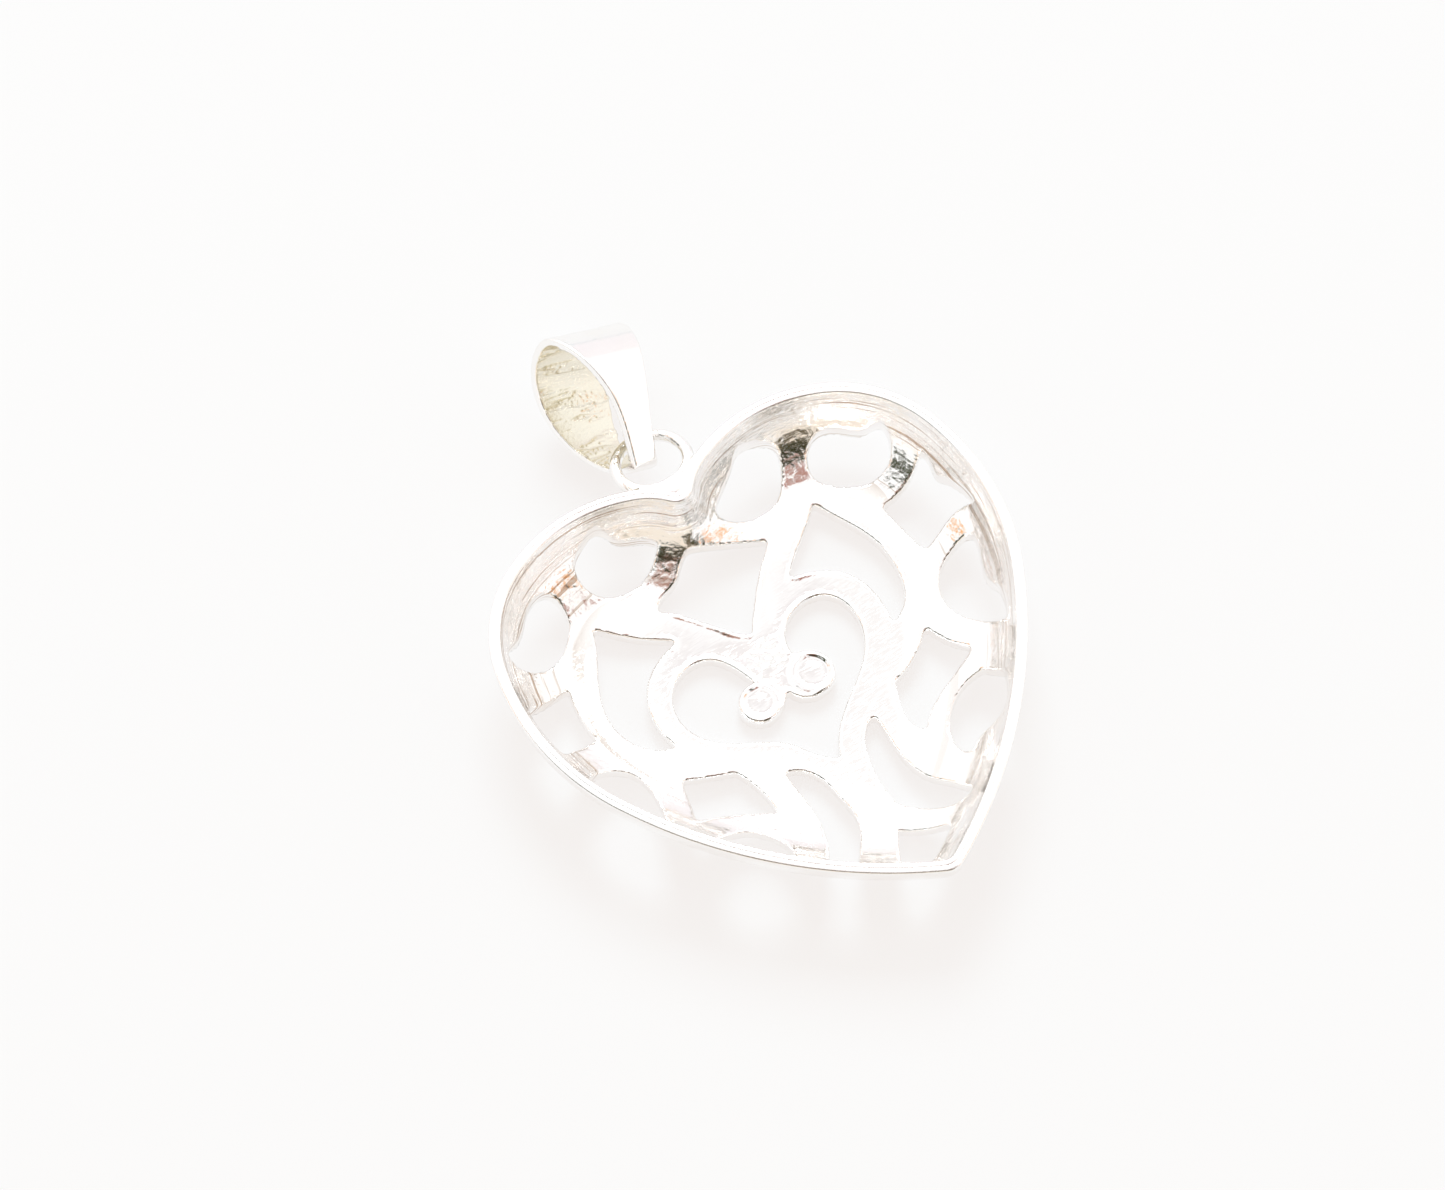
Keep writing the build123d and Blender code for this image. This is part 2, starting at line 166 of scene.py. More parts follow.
class ShaderGroups:
    """The node groups that every finish shares. Edges are where a noise's smooth step starts and ends."""

    COARSE_SCALE = 0.33
    PIT_EDGES = (0.42, 0.66)
    SCRATCH_EDGES = (0.45, 0.75)
    LEVEL_STRETCH = (0.022, 0.022, 1.0)
    WIDE_SCALE = 0.3
    LINE_EDGES = (0.56, 0.60)
    WIDE_EDGES = (0.42, 0.56)
    FILM_EDGES = (0.40, 0.70)

    @staticmethod
    def new(
        name: str, inputs: dict[str, float], outputs: tuple[str, ...]
    ) -> tuple[bpy.types.NodeTree, TreeBench]:
        """Start a shader group that reads a position and some plain numbers.

        Args:
            name: the group's name.
            inputs: number inputs and their defaults.
            outputs: number outputs.

        Returns:
            The group and its bench.
        """
        tree = bpy.data.node_groups.new(name, "ShaderNodeTree")
        tree.interface.new_socket("Place", in_out="INPUT", socket_type="NodeSocketVector")
        for key, value in inputs.items():
            socket = tree.interface.new_socket(key, in_out="INPUT", socket_type="NodeSocketFloat")
            socket.default_value = value
        for key in outputs:
            tree.interface.new_socket(key, in_out="OUTPUT", socket_type="NodeSocketFloat")
        return tree, TreeBench(tree)

    @classmethod
    def cast_grain(cls) -> bpy.types.NodeTree:
        """The grain and the pits of a casting's skin, as a height."""
        tree, bench = cls.new("cast grain", {"Size": 0.25, "Depth": 0.5}, ("Height",))
        given = bench.add("NodeGroupInput").outputs
        scale = bench.maths("DIVIDE", 1.0, given["Size"])
        fine = bench.noise(given["Place"], scale, detail=4.0)
        wider = bench.maths("MULTIPLY", scale, cls.COARSE_SCALE)
        pits = bench.ramp(bench.noise(given["Place"], wider, detail=2.0, seed=5.0), *cls.PIT_EDGES)
        height = bench.maths("MULTIPLY", bench.maths("ADD", fine, pits), given["Depth"])
        bench.add("NodeGroupOutput", {"Height": height})
        return tree

    @classmethod
    def scratches(cls) -> bpy.types.NodeTree:
        """Fine scratches from a polishing brush, drawn out along one line."""
        tree, bench = cls.new("polish scratches", {"Size": 0.1, "Stretch": 12.0}, ("Scratches",))
        given = bench.add("NodeGroupInput").outputs
        parts = bench.add("ShaderNodeSeparateXYZ", {0: given["Place"]}).outputs
        along = bench.maths("DIVIDE", parts["X"], given["Stretch"])
        place = bench.add("ShaderNodeCombineXYZ", {"X": along, "Y": parts["Y"], "Z": parts["Z"]}).outputs[0]
        lines = bench.noise(place, bench.maths("DIVIDE", 1.0, given["Size"]), detail=3.0, seed=2.0)
        bench.add("NodeGroupOutput", {"Scratches": bench.ramp(lines, *cls.SCRATCH_EDGES)})
        return tree

    @classmethod
    def wall_lines(cls) -> bpy.types.NodeTree:
        """Level lines that a file leaves round a hollow's wall, as a height and the grime in them."""
        tree, bench = cls.new("wall lines", {"Size": 0.1, "Grime": 0.5}, ("Height", "Grime"))
        given = bench.add("NodeGroupInput").outputs
        place = bench.vectors("MULTIPLY", given["Place"], cls.LEVEL_STRETCH).outputs[0]
        lines = bench.noise(place, bench.maths("DIVIDE", 1.0, given["Size"]), detail=1.0, seed=11.0)
        wide = bench.noise(place, bench.maths("DIVIDE", cls.WIDE_SCALE, given["Size"]), detail=1.0, seed=12.0)
        grime = bench.maths("MULTIPLY", bench.ramp(lines, *cls.LINE_EDGES), bench.ramp(wide, *cls.WIDE_EDGES))
        grime = bench.maths("MULTIPLY", grime, given["Grime"])
        bench.add("NodeGroupOutput", {"Height": lines, "Grime": grime})
        return tree

    @classmethod
    def tarnish(cls) -> bpy.types.NodeTree:
        """Where a warm film lies, in patches."""
        tree, bench = cls.new("tarnish", {"Size": 3.0, "Amount": 0.4}, ("Film",))
        given = bench.add("NodeGroupInput").outputs
        patches = bench.noise(given["Place"], bench.maths("DIVIDE", 1.0, given["Size"]), detail=3.0, seed=9.0)
        film = bench.maths("MULTIPLY", bench.ramp(patches, *cls.FILM_EDGES), given["Amount"])
        bench.add("NodeGroupOutput", {"Film": film})
        return tree


@dataclass(frozen=True)
class SilverFinish:
    """One finish of the silver. Sizes are millimetres, and depths are shares of the bump.

    Three numbers on a piece's points change it: cast is 1 where the skin is left unpolished, inside is 1 in
    the bail's loop, and sunk is 1 between the raised borders, where a darker tone is painted in as shade.
    """

    name: str
    roughness: float
    grain_size: float
    grain_depth: float
    scratch_size: float
    scratch_stretch: float
    tarnish_size: float
    tarnish_amount: float
    wall_grime: float = 0.0
    line_size: float = 0.16
    bump: float = 0.03
    polished_grain: float = 0.06
    scratch_depth: float = 0.08
    line_depth: float = 0.6
    scratch_roughness: float = 0.10
    cast_roughness: float = 0.08
    inside_roughness: float = 0.12
    polished_film: float = 0.2
    inside_film: float = 0.65
    silver: tuple[float, float, float, float] = (0.975, 0.966, 0.957, 1.0)
    # the sunk faces between the raised borders get this darker tone, which is painted shade
    wear_and_sunk_shade: tuple[float, float, float, float] = (0.915, 0.897, 0.892, 1.0)
    film: tuple[float, float, float, float] = (0.85, 0.79, 0.62, 1.0)
    grime: tuple[float, float, float, float] = (0.50, 0.37, 0.27, 1.0)

    def build(self, groups: dict[str, bpy.types.NodeTree]) -> bpy.types.Material:
        """Make the material.

        Args:
            groups: the shared shader groups by name.

        Returns:
            The material.
        """
        material = bpy.data.materials.new(self.name)
        material.use_nodes = True
        bench = TreeBench(material.node_tree)
        material.node_tree.nodes.clear()
        scaled = bench.vectors("SCALE", bench.add("ShaderNodeTexCoord").outputs["Object"])
        scaled.inputs["Scale"].default_value = 1 / MM
        place = scaled.outputs[0]
        grain = self.use(bench, groups["grain"], place, {"Size": self.grain_size, "Depth": self.grain_depth})
        lines = self.use(
            bench, groups["scratches"], place, {"Size": self.scratch_size, "Stretch": self.scratch_stretch}
        )
        film = self.use(
            bench, groups["tarnish"], place, {"Size": self.tarnish_size, "Amount": self.tarnish_amount}
        )
        wall = self.use(bench, groups["walls"], place, {"Size": self.line_size, "Grime": self.wall_grime})
        cast, inside, sunk = (
            bench.add("ShaderNodeAttribute", attribute_name=name).outputs["Fac"]
            for name in ("cast", "inside", "sunk")
        )
        rough = bench.maths("MULTIPLY", lines["Scratches"], self.scratch_roughness)
        rough = bench.maths("ADD", rough, bench.maths("MULTIPLY", cast, self.cast_roughness))
        rough = bench.maths("ADD", rough, self.roughness, clamp=True)
        rough = bench.maths("ADD", rough, bench.maths("MULTIPLY", inside, self.inside_roughness), clamp=True)
        relief = bench.maths("MULTIPLY", grain["Height"], bench.at_least(self.polished_grain, cast))
        scratched = bench.maths("MULTIPLY", lines["Scratches"], self.scratch_depth)
        relief = bench.maths("SUBTRACT", relief, scratched)
        filed = bench.maths("MULTIPLY", wall["Height"], bench.maths("MULTIPLY", cast, self.line_depth))
        relief = bench.maths("ADD", relief, filed)
        bump = bench.add("ShaderNodeBump", {"Strength": 1.0, "Distance": self.bump * MM, "Height": relief})
        covered = bench.maths("MULTIPLY", film["Film"], bench.at_least(self.polished_film, cast))
        covered = bench.maths("ADD", covered, bench.maths("MULTIPLY", inside, self.inside_film), clamp=True)
        # the sunk faces get the darker tone as painted shade
        colour = bench.mixed(covered, bench.mixed(sunk, self.silver, self.wear_and_sunk_shade), self.film)
        colour = bench.mixed(bench.maths("MULTIPLY", wall["Grime"], cast), colour, self.grime)
        shader = bench.add(
            "ShaderNodeBsdfPrincipled",
            {"Base Color": colour, "Metallic": 1.0, "Roughness": rough, "Normal": bump.outputs[0]},
        )
        bench.add("ShaderNodeOutputMaterial", {"Surface": shader.outputs[0]})
        return material

    @staticmethod
    def use(
        bench: TreeBench, group: bpy.types.NodeTree, place: bpy.types.NodeSocket, values: dict[str, float]
    ) -> bpy.types.NodeOutputs:
        """Place a shared group with its own values.

        Args:
            bench: the material's bench.
            group: the shared group.
            place: the position that it reads.
            values: its number inputs.

        Returns:
            The group's outputs.
        """
        node = bench.tree.nodes.new("ShaderNodeGroup")
        node.node_tree = group
        bench.feed(node.inputs["Place"], place)
        for key, value in values.items():
            node.inputs[key].default_value = value
        return node.outputs


CAST_SILVER = SilverFinish(
    "cast silver",
    roughness=0.08,
    grain_size=0.26,
    grain_depth=0.6,
    scratch_size=0.08,
    scratch_stretch=10.0,
    tarnish_size=3.0,
    tarnish_amount=0.30,
    wall_grime=0.8,
    film=(0.92, 0.84, 0.75, 1.0),
)
SHEET_SILVER = SilverFinish(
    "sheet silver",
    roughness=0.10,
    grain_size=0.12,
    grain_depth=0.3,
    scratch_size=0.05,
    scratch_stretch=14.0,
    tarnish_size=2.5,
    tarnish_amount=0.30,
)
RIM_SILVER = SilverFinish(
    "rim silver",
    roughness=0.22,
    grain_size=0.2,
    grain_depth=0.1,
    scratch_size=0.06,
    scratch_stretch=6.0,
    tarnish_size=3.0,
    tarnish_amount=0.1,
)


class GeometryBench(TreeBench):
    """A bench for geometry trees. All lengths in them are millimetres."""

    EGG_EDGES = (1.15, 0.8)

    def __init__(self, name: str, inputs: dict[str, float]) -> None:
        """Start a tree with a geometry, a material and some number inputs.

        Args:
            name: the tree's name.
            inputs: its number inputs and their values.
        """
        super().__init__(bpy.data.node_groups.new(name, "GeometryNodeTree"))
        self.values = inputs
        face = self.tree.interface
        face.new_socket("Geometry", in_out="INPUT", socket_type="NodeSocketGeometry")
        for key in inputs:
            face.new_socket(key, in_out="INPUT", socket_type="NodeSocketFloat")
        face.new_socket("Material", in_out="INPUT", socket_type="NodeSocketMaterial")
        face.new_socket("Geometry", in_out="OUTPUT", socket_type="NodeSocketGeometry")
        self.given = self.add("NodeGroupInput").outputs
        self.place = self.add("GeometryNodeInputPosition").outputs[0]
        self.normal = self.add("GeometryNodeInputNormal").outputs[0]
        self.level = self.add("ShaderNodeSeparateXYZ", {0: self.place}).outputs["Z"]
        self.facing_up = self.add("ShaderNodeSeparateXYZ", {0: self.normal}).outputs["Z"]

    @staticmethod
    def value_of(node: bpy.types.Node) -> bpy.types.NodeSocket:
        """The Value input that is live in a node with one for each kind of data."""
        return next(socket for socket in node.inputs if socket.enabled and socket.name == "Value")

    def soften(self, geometry: object, rounds: int) -> bpy.types.NodeSocket:
        """Even out a skin's points with their neighbours.

        Args:
            geometry: the skin.
            rounds: how often it is done.

        Returns:
            The softer skin.
        """
        blurred = self.add("GeometryNodeBlurAttribute", {"Iterations": rounds}, data_type="FLOAT_VECTOR")
        self.feed(self.value_of(blurred), self.place)
        soft = next(socket for socket in blurred.outputs if socket.enabled)
        return self.add("GeometryNodeSetPosition", {"Geometry": geometry, "Position": soft}).outputs[0]

    def push(self, geometry: object, way: object, amount: object) -> bpy.types.NodeSocket:
        """Move a skin's points along a direction by an amount.

        Args:
            geometry: the skin.
            way: the direction.
            amount: how far.

        Returns:
            The moved skin.
        """
        offset = self.vectors("SCALE", way)
        self.feed(offset.inputs["Scale"], amount)
        values = {"Geometry": geometry, "Offset": offset.outputs[0]}
        return self.add("GeometryNodeSetPosition", values).outputs[0]

    def swell(self, place: object, size: object, depth: object, seed: float) -> bpy.types.NodeSocket:
        """Noise of a size that swings from minus to plus half of a depth."""
        swing = self.noise(place, self.maths("DIVIDE", 1.0, size), detail=2.0, seed=seed)
        return self.maths("MULTIPLY", self.maths("SUBTRACT", swing, 0.5), depth)

    def stretched(self, factors: tuple[float, float, float]) -> bpy.types.NodeSocket:
        """The place with each axis scaled, so that a noise on it is drawn out."""
        return self.vectors("MULTIPLY", self.place, factors).outputs[0]

    def within(self, middle: Vector, reach: tuple[float, float, float]) -> bpy.types.NodeSocket:
        """A mask that is 1 inside an egg-shaped space and fades to 0 round its skin.

        Args:
            middle: the middle of the space.
            reach: its half lengths along the axes.

        Returns:
            The mask's socket.
        """
        offset = self.vectors("SUBTRACT", self.place, middle).outputs[0]
        scaled = self.vectors("DIVIDE", offset, reach).outputs[0]
        return self.ramp(self.vectors("LENGTH", scaled).outputs["Value"], *self.EGG_EDGES)

    def store(self, geometry: object, name: str, value: object) -> bpy.types.NodeSocket:
        """Keep a number on each point for the material.

        Args:
            geometry: the skin.
            name: the number's name.
            value: the number.

        Returns:
            The skin with the number.
        """
        values = {"Geometry": geometry, "Name": name}
        node = self.add("GeometryNodeStoreNamedAttribute", values, data_type="FLOAT")
        self.feed(self.value_of(node), value)
        return node.outputs[0]

    def finish(self, geometry: object) -> None:
        """End the tree with smooth faces, real geometry and the material."""
        geometry = self.add("GeometryNodeSetShadeSmooth", {"Geometry": geometry}).outputs[0]
        geometry = self.add("GeometryNodeRealizeInstances", {"Geometry": geometry}).outputs[0]
        values = {"Geometry": geometry, "Material": self.given["Material"]}
        geometry = self.add("GeometryNodeSetMaterial", values).outputs[0]
        self.add("NodeGroupOutput", {"Geometry": geometry})

    def apply(self, piece: bpy.types.Object, material: bpy.types.Material) -> None:
        """Run the tree on a piece and keep the result as its plain mesh.

        Args:
            piece: what the tree changes.
            material: what its faces get.
        """
        modifier = piece.modifiers.new(self.tree.name, "NODES")
        modifier.node_group = self.tree
        values: dict[str, object] = {"Material": material, **self.values}
        for item in self.tree.interface.items_tree:
            if item.in_out == "INPUT" and item.name in values:
                modifier[item.identifier] = values[item.name]
        Workshop.bake(piece)


class Workshop:
    """What the pieces are made with, such as a merged copy, a fine skin and a baked mesh."""

    MERGE_DISTANCE = 0.001

    @staticmethod
    def copy_of(node: str, name: str) -> bpy.types.Object:
        """A merged copy of a CAD node in millimetres.

        Args:
            node: the CAD node's name.
            name: the new piece's name.

        Returns:
            The new object.
        """
        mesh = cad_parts[node].data.copy()
        mesh.materials.clear()
        mesh.transform(Matrix.Scale(1 / MM, 4))
        shape = bmesh.new()
        shape.from_mesh(mesh)
        bmesh.ops.remove_doubles(shape, verts=shape.verts, dist=Workshop.MERGE_DISTANCE)
        shape.to_mesh(mesh)
        shape.free()
        mesh.name = name
        piece = bpy.data.objects.new(name, mesh)
        bpy.context.scene.collection.objects.link(piece)
        return piece

    @staticmethod
    def join(piece: bpy.types.Object, other: bpy.types.Mesh) -> None:
        """Add another closed mesh to a piece's own.

        Args:
            piece: what grows.
            other: what is added.
        """
        shape = bmesh.new()
        shape.from_mesh(piece.data)
        shape.from_mesh(other)
        shape.to_mesh(piece.data)
        shape.free()

    @staticmethod
    def bake(piece: bpy.types.Object) -> None:
        """Turn a piece and its modifiers into one plain mesh.

        Args:
            piece: the object whose mesh is replaced.
        """
        evaluated = piece.evaluated_get(bpy.context.evaluated_depsgraph_get())
        mesh = bpy.data.meshes.new_from_object(evaluated)
        mesh.name = piece.name
        piece.modifiers.clear()
        piece.data = mesh

    @classmethod
    def reskin(cls, piece: bpy.types.Object, voxel: float) -> None:
        """Fuse a piece's shapes into one even skin of small quads.

        Args:
            piece: what is fused.
            voxel: how wide a quad is.
        """
        modifier = piece.modifiers.new("skin", "REMESH")
        modifier.mode = "VOXEL"
        modifier.voxel_size = voxel
        modifier.use_smooth_shade = True
        cls.bake(piece)

    @classmethod
    def thin(cls, piece: bpy.types.Object, triangles: int) -> None:
        """Merge a skin's flatter faces until about so many triangles are left.

        Args:
            piece: a skin of quads.
            triangles: how many are left.
        """
        modifier = piece.modifiers.new("thin", "DECIMATE")
        modifier.ratio = min(1.0, triangles / (2 * len(piece.data.polygons)))
        cls.bake(piece)

    @staticmethod
    def loops(name: str, lines: list[list[Vector]]) -> bpy.types.Object:
        """An object whose mesh is closed loops of edges, for a tree to sweep along.

        Args:
            name: the piece's name.
            lines: the loops' points, in millimetres.

        Returns:
            The new object.
        """
        points: list[Vector] = []
        edges: list[tuple[int, int]] = []
        for line in lines:
            start, count = len(points), len(line)
            points += line
            edges += [(start + step, start + (step + 1) % count) for step in range(count)]
        mesh = bpy.data.meshes.new(name)
        mesh.from_pydata(points, edges, [])
        piece = bpy.data.objects.new(name, mesh)
        bpy.context.scene.collection.objects.link(piece)
        return piece

    @staticmethod
    def torus(
        shape: bmesh.types.BMesh, place: Matrix, radius: float, wire: float, steps: int = 64, sides: int = 16
    ) -> None:
        """Add a closed ring to a shape.

        Args:
            shape: what it is added to.
            place: where its middle and its axis Z go.
            radius: from the middle to the wire's own middle.
            wire: the wire's radius.
            steps: how many parts it has round its axis.
            sides: how many faces the wire has round its own middle.
        """
        rings = []
        for turn in (math.tau * step / steps for step in range(steps)):
            ring = []
            for tilt in (math.tau * side / sides for side in range(sides)):
                reach = radius + wire * math.cos(tilt)
                point = Vector((reach * math.cos(turn), reach * math.sin(turn), wire * math.sin(tilt)))
                ring.append(shape.verts.new(place @ point))
            rings.append(ring)
        for index, ring in enumerate(rings):
            other = rings[(index + 1) % steps]
            for side in range(sides):
                following = (side + 1) % sides
                shape.faces.new((ring[side], other[side], other[following], ring[following]))

    @staticmethod
    def to_metres(piece: bpy.types.Object) -> None:
        """Scale a piece's mesh from millimetres to metres."""
        piece.data.transform(Matrix.Scale(MM, 4))
        piece.data.update()


@dataclass
class Outline:
    """The heart's outline: one half is five arcs, each tangent to the next. Lengths are millimetres."""

    half: float
    middle_y: float
    cleft_height: float = 0.656
    cleft_heading: float = 54.1
    cleft_radius: float = 0.35
    tip_radius: float = 1.1
    spacing: float = 0.12
    arcs: tuple[tuple[float, float], ...] = (
        # radius as a share of the half width, sweep in degrees
        (0.328, 30.5),
        (0.660, 50.1),
        (0.524, 47.8),
        (0.968, 43.1),
        (2.013, 36.1),
    )

    def centres(self) -> list[tuple[float, float, float, float]]:
        """Each arc's centre x, centre y, radius and the heading at its start.

        Returns:
            A row for each arc, from the cleft to the tip.
        """
        x, y, heading = 0.0, self.cleft_height * self.half, math.radians(self.cleft_heading)
        rows = []
        for share, sweep in self.arcs:
            radius = share * self.half
            centre_x, centre_y = x + radius * math.sin(heading), y - radius * math.cos(heading)
            rows.append((centre_x, centre_y, radius, heading))
            heading -= math.radians(sweep)
            x, y = centre_x - radius * math.sin(heading), centre_y + radius * math.cos(heading)
        return rows

    def half_line(self, inset: float) -> list[tuple[float, float]]:
        """Points along the right half from the cleft to the tip.

        Args:
            inset: how far the line runs inside the outline.

        Returns:
            Places in the outline's own frame.
        """
        rows = self.centres()
        first_x, first_y, first_radius, _ = rows[0]
        cleft_y = first_y + math.sqrt((first_radius + self.cleft_radius) ** 2 - first_x**2)
        start = math.atan2(first_x, cleft_y - first_y)
        last_x, last_y, last_radius, _ = rows[-1]
        tip_y = last_y - math.sqrt((last_radius - inset - self.tip_radius) ** 2 - last_x**2)
        end = math.atan2(last_x, tip_y - last_y)
        headings = [start] + [row[3] for row in rows[1:]] + [end]
        line = self.turn((0.0, cleft_y), self.cleft_radius + inset, math.pi, math.pi + start)
        for (x, y, radius, _), begin, stop in zip(rows, headings, headings[1:]):
            line += self.turn((x, y), radius - inset, begin, stop)
        return line + self.turn((0.0, tip_y), self.tip_radius, end, -math.pi)

    def turn(
        self, centre: tuple[float, float], radius: float, begin: float, stop: float
    ) -> list[tuple[float, float]]:
        """Points along one arc between two headings, without its last one.

        Args:
            centre: the arc's centre.
            radius: its radius.
            begin: its first heading, in radians.
            stop: its last heading.

        Returns:
            The points.
        """
        count = max(2, round(abs(stop - begin) * radius / self.spacing))
        headings = [begin + (stop - begin) * step / count for step in range(count)]
        return [(centre[0] - radius * math.sin(a), centre[1] + radius * math.cos(a)) for a in headings]

    def loop(self, inset: float, level: float) -> list[Vector]:
        """The closed line at an inset and a height, in the row frame.

        Args:
            inset: how far inside the outline it runs.
            level: its height.

        Returns:
            The line's points.
        """
        right = self.half_line(inset)
        left = [(-x, y) for x, y in reversed(right[1:])]
        return [Vector((x, y + self.middle_y, level)) for x, y in right + left]


@dataclass
class Heart:
    """The pierced dome with its rim, its ring and the solder between them. Lengths are millimetres."""

    voxel: float = 0.115
    triangles: int = 190000
    tip_share: float = 1.152
    # the scroll ends
    discs: tuple[tuple[float, float, float], ...] = (
        # across and along as shares of the half width, radius
        (0.077, -0.114, 1.36),
        (-0.153, -0.108, 1.25),
    )
    disc_level: float = 0.72
    disc_swell: float = 0.22
    disc_sides: int = 48
    disc_bead: float = 0.17
    disc_bead_rise: float = 0.6
    soft_rounds: int = 3
    lowest: float = 0.02
    # the borders, and the inner scrolls where they are highest
    wall_slope: float = 0.45
    border_core: float = 0.6
    plain_border: float = 0.2
    top_slopes: tuple[float, float] = (0.3, 0.8)
    top_levels: tuple[float, float] = (1.7, 1.3)
    scroll_middle: tuple[float, float] = (-0.037, 0.07)
    scroll_level: float = 0.5
    scroll_reach: tuple[float, float, float] = (6.2, 6.2, 2.5)
    # the worn patch
    worn_middle: tuple[float, float] = (-0.010, 0.040)
    worn_level: float = 0.9
    worn_reach: tuple[float, float, float] = (1.7, 1.1, 0.8)
    # the hollow's unpolished skin
    lobes_along: tuple[float, float] = (-9.0, 3.0)
    tip_grain: float = 0.3
    hollow_level: float = 9.0
    hollow_facing: tuple[float, float] = (0.0, 0.2)
    cast_levels: tuple[float, float] = (0.9, 1.9)
    streak_stretch: tuple[float, float, float] = (0.04, 0.04, 1.8)
    # the rim
    rim_beads: tuple[float, float] = (0.22, 0.51)
    bead_radius: float = 0.21
    bead_flatness: float = 0.50
    bead_sides: int = 20
    bead_wave: tuple[float, float] = (1.4, 0.02)
    relief: dict[str, float] = field(
        default_factory=lambda: {
            "Wave Size": 2.4,
            "Wave Depth": 0.035,
            "Grain Size": 0.5,
            "Grain Depth": 0.05,
            "Grain From": 1.4,
            "Grain Full": 2.8,
            "Streak Size": 0.45,
            "Streak Depth": 0.045,
            "Border Width": 0.34,
            "Border Height": 0.075,
            "Border Top": 1.7,
            "Patch Size": 0.26,
            "Patch Depth": 0.26,
            "Rim Level": 5.18,
        }
    )

    def __post_init__(self) -> None:
        """Take the heart's size and place from its CAD node."""
        low, high = (Vector(corner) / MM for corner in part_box("heart"))
        self.half = high.x
        self.top = high.z
        self.middle_y = low.y + self.tip_share * self.half

    def at(self, across: float, along: float, level: float) -> Vector:
        """A point given as shares of the half width, and its height."""
        return Vector((across * self.half, self.middle_y + along * self.half, level))

    def disc(self, across: float, along: float, radius: float) -> bpy.types.Mesh:
        """The round end of a scroll: a low button inside a raised bead.

        Args:
            across: its middle as a share of the half width.
            along: likewise, towards the bail.
            radius: its radius.

        Returns:
            The button's mesh.
        """
        middle = self.at(across, along, self.disc_level)
        shape = bmesh.new()
        sides = self.disc_sides
        bmesh.ops.create_uvsphere(shape, u_segments=sides, v_segments=sides // 2, radius=1.0)
        fit = Matrix.Translation(middle) @ Matrix.Diagonal((radius, radius, self.disc_swell, 1.0))
        bmesh.ops.transform(shape, matrix=fit, verts=shape.verts)
        bead = Matrix.Translation(middle + Vector((0.0, 0.0, self.disc_swell * self.disc_bead_rise)))
        Workshop.torus(shape, bead, radius - self.disc_bead, self.disc_bead)
        mesh = bpy.data.meshes.new("disc")
        shape.to_mesh(mesh)
        shape.free()
        return mesh

    def borders(self, bench: GeometryBench, skin: bpy.types.NodeSocket) -> bpy.types.NodeSocket:
        """Raise a border along the edges of the scrolls' tops, and mark what lies sunk between the borders,
        for the material to paint darker as shade.

        Args:
            bench: the relief's bench.
            skin: the casting so far.

        Returns:
            The skin with its borders.
        """
        given = bench.given
        is_wall = bench.maths("LESS_THAN", bench.maths("ABSOLUTE", bench.facing_up), self.wall_slope)
        is_low = bench.maths("LESS_THAN", bench.level, given["Border Top"])
        chosen = bench.maths("MULTIPLY", is_wall, is_low)
        values = {"Geometry": skin, "Selection": chosen}
        walls = bench.add("GeometryNodeSeparateGeometry", values, domain="FACE")
        near = bench.add("GeometryNodeProximity", {0: walls.outputs[0]}, target_element="FACES")
        core = bench.maths("MULTIPLY", given["Border Width"], self.border_core)
        edge = bench.ramp(near.outputs["Distance"], given["Border Width"], core)
        upward = bench.ramp(bench.facing_up, *self.top_slopes)
        top = bench.maths("MULTIPLY", upward, bench.ramp(bench.level, *self.top_levels))
        scroll = bench.within(self.at(*self.scroll_middle, self.scroll_level), self.scroll_reach)
        raised = bench.maths("MULTIPLY", edge, top)
        share = bench.at_least(self.plain_border, scroll)
        height = bench.maths("MULTIPLY", bench.maths("MULTIPLY", raised, share), given["Border Height"])
        # the sunk faces are marked for a darker tone that is painted shade
        sunk = bench.maths("MULTIPLY", bench.maths("SUBTRACT", top, raised), scroll)
        return bench.push(bench.store(skin, "sunk", sunk), (0.0, 0.0, 1.0), height)

    def hollow(self, bench: GeometryBench) -> bpy.types.NodeSocket:
        """A mask for the skin that faces into the hollow, strongest in the lobes.

        Args:
            bench: the relief's bench.

        Returns:
            The mask's socket.
        """
        along = bench.add("ShaderNodeSeparateXYZ", {0: bench.place}).outputs["Y"]
        lobes = bench.at_least(self.tip_grain, bench.ramp(along, *self.lobes_along))
        inward = bench.vectors("SUBTRACT", self.at(0.0, 0.0, self.hollow_level), bench.place).outputs[0]
        inward = bench.vectors("NORMALIZE", inward).outputs[0]
        facing = bench.vectors("DOT_PRODUCT", inward, bench.normal).outputs["Value"]
        return bench.maths("MULTIPLY", lobes, bench.ramp(facing, *self.hollow_facing))

